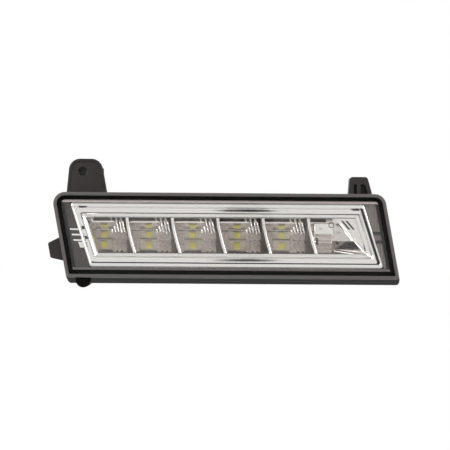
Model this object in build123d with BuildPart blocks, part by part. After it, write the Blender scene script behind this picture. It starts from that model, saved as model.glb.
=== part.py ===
from build123d import *
from math import cos, radians, sqrt, tan
import os

# Daytime running light for the left side of a car's front bumper, in millimetres.
# X runs along the lamp, Y from the front of the rim towards the rear, Z up.
# The origin is the middle of the rim's front plane.

# Rim of the housing: a parallelogram whose ends lean, top towards -X
rim_width = 242.0
rim_height = 62.0
rim_lean = 10.5
rim_top_radius = 8.5
rim_bottom_radius = 1.8
rim_lip = 2.5
rim_round = 0.9
chin_front = 1.4
chin_drop = 4.6
channel_depth = 13.0
housing_wall = 2.0
corner_radius = 0.8

# Lens and its seal
lens_recess = 3.0
lens_wall = 2.2
lens_bevel = 0.6
lens_clearance = 0.3
seal_gap = 2.4
seal_bead = 3.5
leg_bite = 2.0

# Bright surround: lip, terrace and sloping ledge step back towards the window
trim_gap = 0.8
trim_end_gap = 14.0
trim_lean = 18.0
trim_shift = 1.1
trim_wall = 1.6
trim_clearance = 0.3
trim_radius = 2.4
lip_height = 3.4
lip_end = 2.4
lip_rise = 1.6
terrace_height = 4.1
terrace_end = 2.7
terrace_fall = 0.4
step_depth = 7.4
ledge_height = 3.1
ledge_end = 2.9
ledge_depth = 1.6

# Clip at the left end of the surround
finger_count = 3
finger_height = 1.5
finger_pitch = 4.0
finger_reach = 6.0
finger_wall = 1.2
finger_rise = 0.5
lug_height = 4.4
lug_reach = 3.2
catch_size = 2.3
catch_end = 3.8
catch_heights = (5.2, -2.0)

# Dark end panels
panel_setback = 0.6
panel_wall = 2.4
panel_clearance = 0.25
groove_height = 2.3
groove_pitch = 6.2
groove_depth = 1.2

# Mirror: cells between dividers, closed by facets on a parabola
cell_count = 6
first_cell = 28.3
last_cell = 36.1
divider_wall = 2.0
divider_lean = 13.0
divider_bow = 0.8
divider_draft = 1.4
mirror_rim = 3.1
mirror_wall = 1.6
mirror_back_wall = 2.2
facet_drops = (3.8, 9.9, 16.6)
flute_count = 3
flute_width = 1.5
flute_pitch = 3.6
flute_rise = 0.9
flute_margin = 2.4
strut_run = 15.6
strut_wall = 1.6
strut_front = 2.0
platform_front = 6.0
led_window = 13.0

# Light sources and their board
led_count = 5
led_offset = 18.7
led_setback = 5.18
led_size = 5.6
led_height = 1.2
phosphor_size = 4.0
phosphor_height = 0.3
led_front_room = 1.5
board_wall = 1.6
board_margin = 7.0
board_setback = 1.0
board_overhang = 7.0
board_screw_setback = 2.8
pad_wall = 0.6

# Heat sink and its gasket
shelf_wall = 2.8
opening_clearance = 0.8
gasket_wall = 1.5
gasket_width = 2.4
plate_wall = 3.0
plate_edge = 0.8
plate_height_margin = 3.0
fin_count = 15
fin_wall = 1.8
fin_height = 15.0

# Driver board; places on it are measured from its left end and its middle height
electronics_depth = 14.6
driver_height = 28.0
driver_gap = 2.05
driver_end_gap = 1.0
driver_z = -1.0
driver_standoff = 6.4
standoff_radius = 2.6
driver_screw_inset = 3.2
chip_size = (6.0, 5.0, 1.6)
chip_place = (8.0, 3.0)
inductor_radius = 4.0
inductor_height = 4.6
inductor_place = (8.5, -6.5)
capacitor_radius = 2.6
capacitor_height = 5.4
capacitor_place = (17.0, 8.5)
capacitor_pitch = 7.0
capacitor_count = 2
strip_count = 2
strip_width = 2.4
strip_wall = 0.6
strip_pitch = 4.0
strip_drop = 8.0
strip_inset = 3.0
strip_overlap = 6.0

# Connector socket, vent and their places on the rear wall
socket_offset = 19.5
socket_z = -4.0
socket_width = 20.0
socket_height = 12.0
socket_wall = 1.6
socket_depth = 18.0
socket_radius = 2.5
socket_flange = 3.0
socket_flange_wall = 2.0
socket_seal_wall = 1.0
socket_clearance = 0.2
pin_count = 3
pin_pitch = 4.6
pin_width = 2.4
pin_wall = 0.8
pin_reach = 12.0
pin_clearance = 0.15
vent_gap = 3.1
vent_z = -7.0
vent_spigot_radius = 4.0
vent_bore_radius = 2.2
vent_spigot_height = 4.0
vent_cap_radius = 6.4
vent_cap_wall = 1.4
vent_cap_gap = 0.6
membrane_wall = 0.4
vent_notch_count = 4
vent_notch_width = 2.0

# Mounting tabs, tongue and lower boss of the housing.
# Places along X are measured from the rim's left end, those of the clip tab from its right end.
tab_front = 9.0
tab_wall = 4.0
tab_border = 2.0
tab_recess = 0.8
tab_base_left = 4.6
tab_base_right = 34.8
tab_top_left = 7.1
tab_top_right = 29.8
tab_rise = 24.5
tab_radius = 8.2
tab_hole_x = 16.5
tab_hole_rise = 15.2
tab_hole_radius = 3.1
tab_hole_depth = 4.5
tab_boss_radius = 5.4
tab_web_wall = 2.2
tab_web_drop = 7.0
tab_web_length = 16.0
clip_tab_front = 5.0
clip_tab_left = 31.7
clip_tab_right = 13.6
clip_tab_slant = 4.2
clip_tab_rise = 12.4
clip_tab_radius = 2.5
clip_pocket_rise = 6.8
clip_pocket_depth = 7.0
clip_rib_wall = 2.7
clip_side_wall = 3.9
clip_narrow_pocket = 2.3
tongue_front = 8.0
tongue_wall = 4.0
tongue_reach = 9.7
tongue_top = -0.6
tongue_bottom = -19.8
tongue_tip_top = -6.2
tongue_tip_bottom = -17.0
tongue_radius = 1.6
boss_x = 17.8
boss_radius = 5.5
boss_below = 2.8
boss_front = 4.0
boss_length = 22.0
boss_hole_radius = 2.1
boss_hole_depth = 10.0
rib_wall = 1.8
rib_length = 16.0
rib_count = 6
rib_pitch = 32.0
rib_step = 1.0
tub_bevel = 0.8

# Screws: one size holds the inner pieces, a larger one the heat sink.
# Shanks, their holes and the hidden posts are drawn with few sides, small cans with a few more.
post_sides = 8
head_sides = 6
can_sides = 12
screw_radius = 1.25
screw_head_radius = 2.5
screw_head = 1.9
screw_length = 6.0
screw_clearance = 0.3
thread_clearance = 0.1
post_radius = 2.8
ear_wall = 1.8
ear_gap = 0.2
ear_setback = 1.0
ear_radius = 2.6
trim_screw_height = 12.0
reflector_screw_x = 50.0
sink_screw_radius = 1.75
sink_screw_head_radius = 3.2
sink_screw_head = 2.4
sink_screw_length = 12.0
sink_screw_inset = 6.5
sink_post_radius = 3.4
sink_post_length = 11.0

# Distances set in from the rim's outline, square to each side
lens_inset = rim_lip + seal_gap
leg_inset = lens_inset + lens_wall
tub_inset = leg_inset + lens_clearance
cavity_inset = tub_inset + housing_wall

# Half sizes of the surround's steps and of the window they lead to
trim_half = (rim_width / 2 - trim_end_gap, rim_height / 2 - tub_inset)
lip_half = (trim_half[0] - lip_end, trim_half[1] - lip_height)
ledge_half = (lip_half[0] - terrace_end, lip_half[1] - terrace_height)
window_half = (ledge_half[0] - ledge_end, ledge_half[1] - ledge_height)
window_width = 2 * window_half[0]
window_height = 2 * window_half[1]
cell_pitch = (window_width - first_cell - last_cell) / (cell_count - 2)

# Focal length of the parabola about the light source that ends at the window's lower edge
led_behind_rim = led_setback - mirror_rim
mirror_focus = (sqrt(led_behind_rim**2 + window_height**2) - led_behind_rim) / 2

# Depths from the rim's front plane, worked out from the sizes above
lens_back = lens_recess + lens_wall
trim_front = lens_back + trim_gap
panel_front = trim_front + panel_setback
seat = panel_front + panel_wall
rim_depth = channel_depth + housing_wall
seal_front = channel_depth - seal_bead
leg_end = seal_front + leg_bite
terrace_front = trim_front + lip_rise
terrace_back = terrace_front + terrace_fall
ledge_front = terrace_back + step_depth
window_depth = ledge_front + ledge_depth
led_depth = window_depth + led_setback
mirror_back = led_depth + mirror_focus + mirror_back_wall
tub_depth = mirror_back + electronics_depth + housing_wall
rear_inside = tub_depth - housing_wall
plate_front = tub_depth + gasket_wall
plate_back = plate_front + plate_wall
driver_back = rear_inside - driver_standoff
driver_front = driver_back - board_wall
ear_front = seat + screw_head + ear_gap
ear_back = ear_front + ear_wall
reflector_ear_front = window_depth + ear_setback
reflector_ear_back = reflector_ear_front + ear_wall

# Heights of what lies on the mirror's upper wall
ceiling = window_half[1]
board_under = ceiling + mirror_wall
board_top = board_under + board_wall
shelf_under = board_top + pad_wall
shelf_top = shelf_under + shelf_wall

rim_slope = tan(radians(rim_lean))
trim_slope = tan(radians(trim_lean))
divider_slope = tan(radians(divider_lean))
rim_top = rim_height / 2
rim_left = -rim_width / 2
rim_right = rim_width / 2
tub_top = rim_top - tub_inset
cavity_top = rim_top - cavity_inset
cavity_half_width = rim_width / 2 - cavity_inset / cos(radians(rim_lean))
body_half = (lip_half[0] + trim_wall, cavity_top - trim_clearance)


def front_view(depth):
    """Plane seen from the front, X to the right and Z up, a depth behind the rim."""
    return Plane.XZ.offset(-depth)


def leaning_outline(half_width, top, bottom, slope, radii, shift=0.0):
    """Parallelogram whose ends lean about the middle line, with rounded corners."""
    left = shift - half_width
    right = shift + half_width
    with BuildSketch(Plane.XY) as outline:
        with BuildLine():
            FilletPolyline(
                (left - top * slope, top),
                (right - top * slope, top),
                (right - bottom * slope, bottom),
                (left - bottom * slope, bottom),
                radius=radii,
                close=True,
            )
        make_face()
    return outline.sketch


def rim_outline(inset, drop=0.0):
    """Outline of the rim set in all round; drop lowers only the bottom edge."""
    half_width = rim_width / 2 - inset / cos(radians(rim_lean))
    half_height = rim_height / 2 - inset
    top_radius = max(rim_top_radius - inset, corner_radius)
    bottom_radius = max(rim_bottom_radius - inset, corner_radius)
    radii = (top_radius, top_radius, bottom_radius, bottom_radius)
    return leaning_outline(half_width, half_height, -half_height - drop, rim_slope, radii)


def trim_outline(half, grow=0.0, radius=0.0):
    """Outline of one step of the surround, from its half width and half height."""
    return leaning_outline(half[0] + grow, half[1] + grow, -half[1] - grow, trim_slope,
                           (radius,) * 4, trim_shift)


def polygon_sketch(*points):
    """Closed outline of straight runs, in the sketch's own coordinates."""
    with BuildSketch(Plane.XY) as outline:
        with BuildLine():
            Polyline(*points, close=True)
        make_face()
    return outline.sketch


def screw(radius, length, head_radius, head):
    """Hexagon-head screw whose seat is at the origin, shank towards +Z and head towards -Z."""
    with BuildPart() as body:
        with BuildSketch(Plane.XY):
            RegularPolygon(radius, post_sides)
        extrude(amount=length)
        with BuildSketch(Plane.XY):
            RegularPolygon(head_radius, head_sides)
        extrude(amount=-head)
    return body.part


def screw_group(places, direction, **sizes):
    """Separate screws with their seats at the given places, shanks along one direction."""
    with BuildPart() as group:
        for place in places:
            add(Plane(origin=place, z_dir=direction) * screw(**sizes))
    return group.part


small_screw = {"radius": screw_radius, "length": screw_length,
               "head_radius": screw_head_radius, "head": screw_head}
large_screw = {"radius": sink_screw_radius, "length": sink_screw_length,
               "head_radius": sink_screw_head_radius, "head": sink_screw_head}

# Places of the surround's two screws, half way between its body and the housing's end wall
trim_body_reach = ledge_half[0] + trim_wall
trim_screw_gap = (cavity_half_width + body_half[0]) / 2
trim_screw_lean = trim_screw_height * (rim_slope + trim_slope) / 2
trim_screw_places = (
    (trim_shift / 2 - trim_screw_gap + trim_screw_lean, -trim_screw_height),
    (trim_shift / 2 + trim_screw_gap - trim_screw_lean, trim_screw_height),
)

# Places of the mirror's four screws: two under it and one at each end
reflector_ear_reach = trim_body_reach + screw_radius + screw_clearance + thread_clearance
reflector_ear_drop = cavity_top - post_radius - screw_clearance
reflector_screw_places = (
    (trim_shift - reflector_screw_x, -reflector_ear_drop),
    (trim_shift + reflector_screw_x, -reflector_ear_drop),
    (trim_shift - reflector_ear_reach, 0),
    (trim_shift + reflector_ear_reach, 0),
)

# Light sources stand a set distance to the left of each divider's upper end
first_divider = trim_shift - window_half[0] + first_cell
led_places = [
    first_divider - ceiling * divider_slope - led_offset + index * cell_pitch
    for index in range(led_count)
]
board_left = led_places[0] - board_margin
board_right = led_places[-1] + board_margin
board_middle = (board_left + board_right) / 2
board_length = board_right - board_left
board_front = window_depth + board_setback
board_rear = mirror_back + board_overhang
board_screw_depth = mirror_back + board_screw_setback
board_screw_places = [(left + right) / 2 for left, right in zip(led_places, led_places[1:])]

# Opening in the rear wall for the heat sink, and the plate that covers it
opening_width = board_length + 2 * opening_clearance
opening_top = shelf_top + opening_clearance / 2
opening_bottom = -ceiling
opening_height = opening_top - opening_bottom
opening_middle = (opening_top + opening_bottom) / 2
sink_screw_x = opening_width / 2 + gasket_width + opening_clearance + sink_screw_radius
plate_width = 2 * (sink_screw_x + sink_screw_head_radius + plate_edge)
plate_height = opening_height + 2 * plate_height_margin
sink_screw_height = plate_height / 2 - sink_screw_inset
sink_screw_places = [
    (board_middle + side * sink_screw_x, opening_middle + end * sink_screw_height)
    for side in (-1, 1)
    for end in (-1, 1)
]

# Driver board between the posts of the heat sink and of the surround,
# with the socket behind it and the vent beside the socket
driver_left = board_middle + sink_screw_x + sink_post_radius + driver_gap
driver_right = trim_screw_places[1][0] - post_radius - driver_end_gap
driver_width = driver_right - driver_left
driver_x = (driver_left + driver_right) / 2
socket_x = driver_left + socket_offset
vent_x = socket_x + socket_width / 2 + socket_flange + vent_gap + vent_cap_radius

# Two opposite corners of the driver board carry its screws
driver_screw_places = [
    (driver_x + side * (driver_width / 2 - driver_screw_inset),
     driver_z + side * (driver_height / 2 - driver_screw_inset))
    for side in (-1, 1)
]
pin_places = [socket_x + (index - (pin_count - 1) / 2) * pin_pitch for index in range(pin_count)]

# Chin: the collar's underside, which slopes down towards the rear
with BuildPart() as chin:
    with BuildSketch(front_view(0)):
        add(rim_outline(0, chin_drop))
    extrude(amount=-rim_depth)
    with BuildSketch(Plane.YZ):
        add(polygon_sketch(
            (chin_front, rim_lip - rim_top),
            (rim_depth, rim_lip - rim_top),
            (rim_depth, -rim_top - chin_drop),
            (chin_front, -rim_top),
        ))
    extrude(amount=rim_width, both=True, mode=Mode.INTERSECT)

# Housing: one black moulding with the rim, seal channel, tub, tabs, tongue and boss
with BuildPart() as housing:
    # Collar with a rounded front edge
    with BuildSketch(front_view(0)):
        add(rim_outline(0))
    extrude(amount=-rim_depth)
    fillet(housing.faces().sort_by(Axis.Y)[0].edges(), rim_round)
    add(chin.part)

    # Tub behind the collar, solid for now
    with BuildSketch(front_view(channel_depth)):
        add(rim_outline(tub_inset))
    extrude(amount=channel_depth - tub_depth)
    chamfer(housing.faces().sort_by(Axis.Y)[-1].edges(), tub_bevel)

    # Upper tab with a raised border
    tab_root = rim_top - rim_lip
    with BuildSketch(front_view(tab_front)):
        with BuildLine():
            FilletPolyline(
                (rim_left + tab_base_left, tab_root),
                (rim_left + tab_top_left, rim_top + tab_rise),
                (rim_left + tab_top_right, rim_top + tab_rise),
                (rim_left + tab_base_right, tab_root),
                radius=(0, tab_radius, tab_radius, 0),
                close=True,
            )
        make_face()
    extrude(amount=-tab_wall)
    with BuildSketch(front_view(tab_front)):
        with BuildLine():
            FilletPolyline(
                (rim_left + tab_base_left + tab_border, rim_top + tab_border),
                (rim_left + tab_top_left + tab_border, rim_top + tab_rise - tab_border),
                (rim_left + tab_top_right - tab_border, rim_top + tab_rise - tab_border),
                (rim_left + tab_base_right - tab_border, rim_top + tab_border),
                radius=(0, tab_radius - tab_border, tab_radius - tab_border, 0),
                close=True,
            )
        make_face()
    extrude(amount=-tab_recess, mode=Mode.SUBTRACT)
    with BuildSketch(front_view(tab_front + tab_recess)):
        with Locations((rim_left + tab_hole_x, rim_top + tab_hole_rise)):
            Circle(tab_boss_radius)
    extrude(amount=-tab_hole_depth - housing_wall)
    with BuildSketch(front_view(tab_front + tab_recess)):
        with Locations((rim_left + tab_hole_x, rim_top + tab_hole_rise)):
            Circle(tab_hole_radius)
    extrude(amount=-tab_hole_depth, mode=Mode.SUBTRACT)
    tab_back = tab_front + tab_wall
    web_inset = tab_border + tab_web_wall
    for web_x in (tab_base_left + web_inset, tab_base_right - web_inset):
        with BuildSketch(Plane.YZ.offset(rim_left + web_x)):
            add(polygon_sketch(
                (tab_back - tab_recess, tub_top - rib_step),
                (tab_back + tab_web_length, tub_top - rib_step),
                (tab_back - tab_recess, rim_top + tab_rise - tab_web_drop),
            ))
        extrude(amount=tab_web_wall / 2, both=True)

    # Hollow clip tab with a rib between its two pockets
    clip_left = rim_right - clip_tab_left
    clip_right = rim_right - clip_tab_right
    with BuildSketch(front_view(clip_tab_front)):
        with BuildLine():
            FilletPolyline(
                (clip_left, tab_root),
                (clip_left + rib_step, rim_top + clip_tab_rise),
                (clip_right - clip_tab_slant, rim_top + clip_tab_rise),
                (clip_right, tab_root),
                radius=(0, clip_tab_radius, clip_tab_radius, 0),
                close=True,
            )
        make_face()
    extrude(amount=clip_tab_front - rim_depth)
    narrow_left = clip_left + clip_side_wall
    wide_left = narrow_left + clip_narrow_pocket + clip_rib_wall
    wide_right = clip_right - clip_side_wall
    with BuildSketch(front_view(clip_tab_front)):
        add(polygon_sketch(
            (narrow_left, rim_top),
            (narrow_left, rim_top + clip_pocket_rise),
            (narrow_left + clip_narrow_pocket, rim_top + clip_pocket_rise),
            (narrow_left + clip_narrow_pocket, rim_top),
        ))
        add(polygon_sketch(
            (wide_left, rim_top),
            (wide_left, rim_top + clip_pocket_rise),
            (wide_right - clip_tab_slant / 2, rim_top + clip_pocket_rise),
            (wide_right, rim_top),
        ))
    extrude(amount=-clip_pocket_depth, mode=Mode.SUBTRACT)

    # Tongue at the low end of the left side
    tongue_root = rim_left + rim_lip
    tongue_tip = rim_left - tongue_reach
    with BuildSketch(front_view(tongue_front)):
        with BuildLine():
            FilletPolyline(
                (tongue_root - tongue_top * rim_slope, tongue_top),
                (tongue_tip - tongue_tip_top * rim_slope, tongue_tip_top),
                (tongue_tip - tongue_tip_bottom * rim_slope, tongue_tip_bottom),
                (tongue_root - tongue_bottom * rim_slope, tongue_bottom),
                radius=(0, tongue_radius, tongue_radius, 0),
                close=True,
            )
        make_face()
    extrude(amount=-tongue_wall)

    # Boss under the chin, with a pilot hole from the rear
    boss_z = -rim_top - chin_drop - boss_below + boss_radius
    with BuildSketch(front_view(boss_front)):
        with Locations((rim_left + boss_x, boss_z)):
            Circle(boss_radius)
    extrude(amount=-boss_length)
    boss_rear = boss_front + boss_length
    with BuildSketch(front_view(boss_rear)):
        with Locations((rim_left + boss_x, boss_z)):
            Circle(boss_hole_radius)
    extrude(amount=boss_hole_depth, mode=Mode.SUBTRACT)

    # Stiffening ribs between the collar and the tub, above and below
    for index in range(rib_count):
        rib_x = (index - (rib_count - 1) / 2) * rib_pitch
        for side in (-1, 1):
            with BuildSketch(Plane.YZ.offset(rib_x)):
                add(polygon_sketch(
                    (rim_depth - rib_step, side * (tub_top - rib_step)),
                    (rim_depth + rib_length, side * (tub_top - rib_step)),
                    (rim_depth - rib_step, side * (rim_top - rib_step)),
                ))
            extrude(amount=rib_wall / 2, both=True)

    # Seal channel, its inner wall and the inside of the tub
    with BuildSketch(front_view(0)):
        add(rim_outline(rim_lip))
    extrude(amount=-channel_depth, mode=Mode.SUBTRACT)
    with BuildSketch(front_view(seat)):
        add(rim_outline(tub_inset))
    extrude(amount=seat - channel_depth)
    with BuildSketch(front_view(seat)):
        add(rim_outline(cavity_inset))
    extrude(amount=seat - rear_inside, mode=Mode.SUBTRACT)

    # Posts for the surround's screws
    with BuildSketch(front_view(ear_back)):
        with Locations(*trim_screw_places):
            RegularPolygon(post_radius, post_sides)
    extrude(amount=ear_back - rear_inside)
    with BuildSketch(front_view(ear_back)):
        with Locations(*trim_screw_places):
            RegularPolygon(screw_radius + thread_clearance, post_sides)
    extrude(amount=-screw_length, mode=Mode.SUBTRACT)

    # Opening for the heat sink and the posts for its screws
    with BuildSketch(front_view(rear_inside)):
        with Locations((board_middle, opening_middle)):
            Rectangle(opening_width, opening_height)
    extrude(amount=-housing_wall, mode=Mode.SUBTRACT)
    with BuildSketch(front_view(rear_inside)):
        with Locations(*sink_screw_places):
            RegularPolygon(sink_post_radius, post_sides)
    extrude(amount=sink_post_length)
    with BuildSketch(front_view(tub_depth)):
        with Locations(*sink_screw_places):
            RegularPolygon(sink_screw_radius + thread_clearance, post_sides)
    extrude(amount=sink_screw_length - plate_wall, mode=Mode.SUBTRACT)

    # Standoffs for the driver board
    with BuildSketch(front_view(rear_inside)):
        with Locations(*driver_screw_places):
            RegularPolygon(standoff_radius, post_sides)
    extrude(amount=driver_standoff)
    with BuildSketch(front_view(driver_back)):
        with Locations(*driver_screw_places):
            RegularPolygon(screw_radius + thread_clearance, post_sides)
    extrude(amount=board_wall - screw_length, mode=Mode.SUBTRACT)

    # Hole for the connector socket
    with BuildSketch(front_view(rear_inside)):
        with Locations((socket_x, socket_z)):
            Rectangle(socket_width, socket_height)
    extrude(amount=-housing_wall, mode=Mode.SUBTRACT)

    # Vent spigot
    with BuildSketch(front_view(tub_depth)):
        with Locations((vent_x, vent_z)):
            Circle(vent_spigot_radius)
    extrude(amount=-vent_spigot_height)
    with BuildSketch(front_view(rear_inside)):
        with Locations((vent_x, vent_z)):
            Circle(vent_bore_radius)
    extrude(amount=-housing_wall - vent_spigot_height, mode=Mode.SUBTRACT)

# Lens: clear cover with a leg all round that stands in the seal channel
with BuildPart() as lens:
    with BuildSketch(front_view(lens_recess)):
        add(rim_outline(lens_inset))
    extrude(amount=lens_recess - leg_end)
    chamfer(lens.faces().sort_by(Axis.Y)[0].edges(), lens_bevel)
    with BuildSketch(front_view(lens_back)):
        add(rim_outline(leg_inset))
    extrude(amount=lens_back - leg_end, mode=Mode.SUBTRACT)

# Sealant: fills the bottom of the channel and grips the lens leg
with BuildPart() as lens_sealant:
    with BuildSketch(front_view(seal_front)):
        add(rim_outline(rim_lip))
        add(rim_outline(tub_inset), mode=Mode.SUBTRACT)
    extrude(amount=seal_front - channel_depth)
    with BuildSketch(front_view(seal_front)):
        add(rim_outline(lens_inset))
        add(rim_outline(leg_inset), mode=Mode.SUBTRACT)
    extrude(amount=-leg_bite, mode=Mode.SUBTRACT)

# Bright surround: a flange on the tub's edge, then a terrace and a ledge down to the window
finger_z = [(index - 1) * finger_pitch for index in range(finger_count)]
lug_z = -finger_pitch - finger_height / 2 - finger_rise - lug_height / 2
trim_left = trim_shift - trim_half[0]
with BuildPart() as chrome_trim:
    with BuildSketch(front_view(trim_front)):
        add(trim_outline(trim_half, radius=trim_radius))
    extrude(amount=trim_front - seat)
    with BuildSketch(front_view(seat)):
        add(trim_outline(body_half))
    with BuildSketch(front_view(ledge_front)):
        add(trim_outline(ledge_half, trim_wall))
    with BuildSketch(front_view(window_depth)):
        add(trim_outline(window_half, trim_wall))
    loft(ruled=True)

    # Clip fingers and lug that lie in the left end panel
    with BuildSketch(front_view(panel_front - finger_rise)):
        for height in finger_z:
            reach_left = trim_left - height * trim_slope - finger_reach
            with Locations((reach_left + (finger_reach + lip_end) / 2, height)):
                Rectangle(finger_reach + lip_end, finger_height)
        lug_left = trim_left - lug_z * trim_slope - lug_reach
        with Locations((lug_left + (lug_reach + lip_end) / 2, lug_z)):
            Rectangle(lug_reach + lip_end, lug_height)
    extrude(amount=-finger_wall - finger_rise)

    # Ears for the two screws into the housing
    for place in trim_screw_places:
        inward = -1 if place[0] > 0 else 1
        ear_run = cavity_half_width - trim_body_reach + trim_wall
        with BuildSketch(front_view(ear_front)):
            with Locations(place):
                RegularPolygon(ear_radius, post_sides)
            with Locations((place[0] + inward * ear_run / 2, place[1])):
                Rectangle(ear_run, 2 * ear_radius)
        extrude(amount=-ear_wall)

    # Posts for the mirror's screws
    with BuildSketch(front_view(seat)):
        with Locations(*reflector_screw_places):
            RegularPolygon(post_radius, post_sides)
    extrude(amount=seat - reflector_ear_front)

    # Stepped inside, cut from the front to the window
    with BuildSketch(front_view(trim_front)):
        add(trim_outline(lip_half))
    extrude(amount=trim_front - terrace_front, mode=Mode.SUBTRACT)
    with BuildSketch(front_view(terrace_front)):
        add(trim_outline(lip_half))
    with BuildSketch(front_view(terrace_back)):
        add(trim_outline(ledge_half))
    loft(ruled=True, mode=Mode.SUBTRACT)
    with BuildSketch(front_view(terrace_back)):
        add(trim_outline(ledge_half))
    extrude(amount=terrace_back - ledge_front, mode=Mode.SUBTRACT)
    with BuildSketch(front_view(ledge_front)):
        add(trim_outline(ledge_half))
    with BuildSketch(front_view(window_depth)):
        add(trim_outline(window_half))
    loft(ruled=True, mode=Mode.SUBTRACT)

    # Two square catch holes at the left end
    with BuildSketch(front_view(trim_front)):
        for height in catch_heights:
            with Locations((trim_left + catch_end - height * trim_slope, height)):
                Rectangle(catch_size, catch_size)
    extrude(amount=trim_front - window_depth, mode=Mode.SUBTRACT)

    # Screw holes
    with BuildSketch(front_view(ear_front)):
        with Locations(*trim_screw_places):
            RegularPolygon(screw_radius + screw_clearance, post_sides)
    extrude(amount=-ear_wall, mode=Mode.SUBTRACT)
    with BuildSketch(front_view(reflector_ear_front)):
        with Locations(*reflector_screw_places):
            RegularPolygon(screw_radius + thread_clearance, post_sides)
    extrude(amount=screw_length - ear_wall, mode=Mode.SUBTRACT)

# Dark end panels: they lie on the tub's edge beside the surround
with BuildPart() as end_panels:
    with BuildSketch(front_view(panel_front)):
        add(rim_outline(tub_inset))
        add(leaning_outline(trim_half[0] + panel_clearance, rim_top, -rim_top, trim_slope,
                            (corner_radius,) * 4, trim_shift), mode=Mode.SUBTRACT)
    extrude(amount=-panel_wall)

# Left panel: recess for the surround's fingers and lug
with BuildPart() as end_panel_left:
    add(end_panels.solids().sort_by(Axis.X)[0])
    with BuildSketch(front_view(panel_front)):
        for height in finger_z:
            reach_left = trim_left - height * trim_slope - finger_reach - panel_clearance
            with Locations((reach_left + (finger_reach + lip_end) / 2, height)):
                Rectangle(finger_reach + lip_end, finger_height + 2 * panel_clearance)
        lug_left = trim_left - lug_z * trim_slope - lug_reach - panel_clearance
        with Locations((lug_left + (lug_reach + lip_end) / 2, lug_z)):
            Rectangle(lug_reach + lip_end, lug_height + 2 * panel_clearance)
    extrude(amount=-finger_wall - panel_clearance, mode=Mode.SUBTRACT)

# Right panel: two grooves across its face
with BuildPart() as end_panel_right:
    add(end_panels.solids().sort_by(Axis.X)[-1])
    with BuildSketch(front_view(panel_front)):
        for step in (0, 1):
            with Locations((trim_shift + trim_half[0], groove_height - step * groove_pitch)):
                Rectangle(rim_height, groove_height)
    extrude(amount=-groove_depth, mode=Mode.SUBTRACT)


def mirror_depth(drop):
    """Depth of the mirror's parabola at a drop below the light source."""
    return led_depth + mirror_focus - drop**2 / (4 * mirror_focus)


def facet_line(shift):
    """Side view of the facets from the window's top to its bottom, shifted towards the rear."""
    drops = (0.0, *facet_drops, window_height)
    return [(mirror_depth(drop) + shift, ceiling - drop) for drop in drops]


def hollow_side(shift):
    """Side view of a cell's hollow, from the window plane to the shifted facets."""
    return polygon_sketch((window_depth, -ceiling), (window_depth, ceiling), *facet_line(shift))


def divider_points(index, side, wall):
    """Top, middle and bottom of one flank of a divider, bowed towards -X."""
    middle = first_divider + index * cell_pitch + side * wall / 2
    return (
        (middle - ceiling * divider_slope, ceiling),
        (middle - divider_bow, 0),
        (middle + ceiling * divider_slope, -ceiling),
    )


def cell_outline(index, wall, draft):
    """One cell seen from the front, between its dividers or the window's ends."""
    end_left = trim_shift - window_half[0] + draft
    end_right = trim_shift + window_half[0] - draft
    left = divider_points(index - 1, 1, wall)
    right = divider_points(index, -1, wall)
    if index == 0:
        left = ((end_left - ceiling * trim_slope, ceiling), (end_left, 0),
                (end_left + ceiling * trim_slope, -ceiling))
    if index == cell_count - 1:
        right = ((end_right - ceiling * trim_slope, ceiling), (end_right, 0),
                 (end_right + ceiling * trim_slope, -ceiling))
    with BuildSketch(Plane.XY) as outline:
        with BuildLine():
            if index == 0:
                Line(left[0], left[2])
            else:
                ThreePointArc(*left)
            if index == cell_count - 1:
                Line(right[0], right[2])
            else:
                ThreePointArc(*right)
            Line(left[0], right[0])
            Line(left[2], right[2])
        make_face()
    return outline.sketch


# Flutes that stand on the right half of each lit cell's facets
with BuildPart() as flutes:
    with BuildSketch(front_view(window_depth)):
        for index in range(led_count):
            for flute in range(flute_count):
                middle = first_divider + index * cell_pitch - divider_bow - divider_wall / 2
                middle -= flute_margin + flute_width + flute * flute_pitch
                lean = ceiling * divider_slope
                add(polygon_sketch(
                    (middle - flute_width / 2 - lean, ceiling),
                    (middle + flute_width / 2 - lean, ceiling),
                    (middle + flute_width / 2 + lean, -ceiling),
                    (middle - flute_width / 2 + lean, -ceiling),
                ))
    extrude(amount=window_depth - mirror_back)
    with BuildSketch(Plane.YZ):
        add(hollow_side(0))
        add(hollow_side(-flute_rise), mode=Mode.SUBTRACT)
    extrude(amount=rim_width, both=True, mode=Mode.INTERSECT)

# Hollows of the cells, drafted towards the rear and closed by the facets
with BuildPart() as cells:
    for index in range(cell_count):
        with BuildSketch(front_view(window_depth)):
            add(cell_outline(index, divider_wall, 0))
        with BuildSketch(front_view(mirror_back)):
            add(cell_outline(index, divider_wall + 2 * divider_draft, divider_draft))
        loft(ruled=True)
    with BuildSketch(Plane.YZ):
        add(hollow_side(0))
    extrude(amount=rim_width, both=True, mode=Mode.INTERSECT)
    add(flutes.part, mode=Mode.SUBTRACT)

    # Angled facet and strut that stay solid in the last cell
    window_right = trim_shift + window_half[0]
    strut_top = (window_right - ceiling * trim_slope - strut_run, ceiling)
    strut_end = (window_right + ceiling * trim_slope, -ceiling)
    with BuildSketch(front_view(window_depth + platform_front)):
        add(polygon_sketch(strut_top, (window_right - ceiling * trim_slope, ceiling), strut_end))
    extrude(amount=-mirror_back, mode=Mode.SUBTRACT)
    with BuildSketch(front_view(window_depth + strut_front)):
        add(polygon_sketch(
            strut_top,
            (strut_top[0] + strut_wall, ceiling),
            strut_end,
            (strut_end[0] - strut_wall, -ceiling),
        ))
    extrude(amount=-mirror_back, mode=Mode.SUBTRACT)

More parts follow.
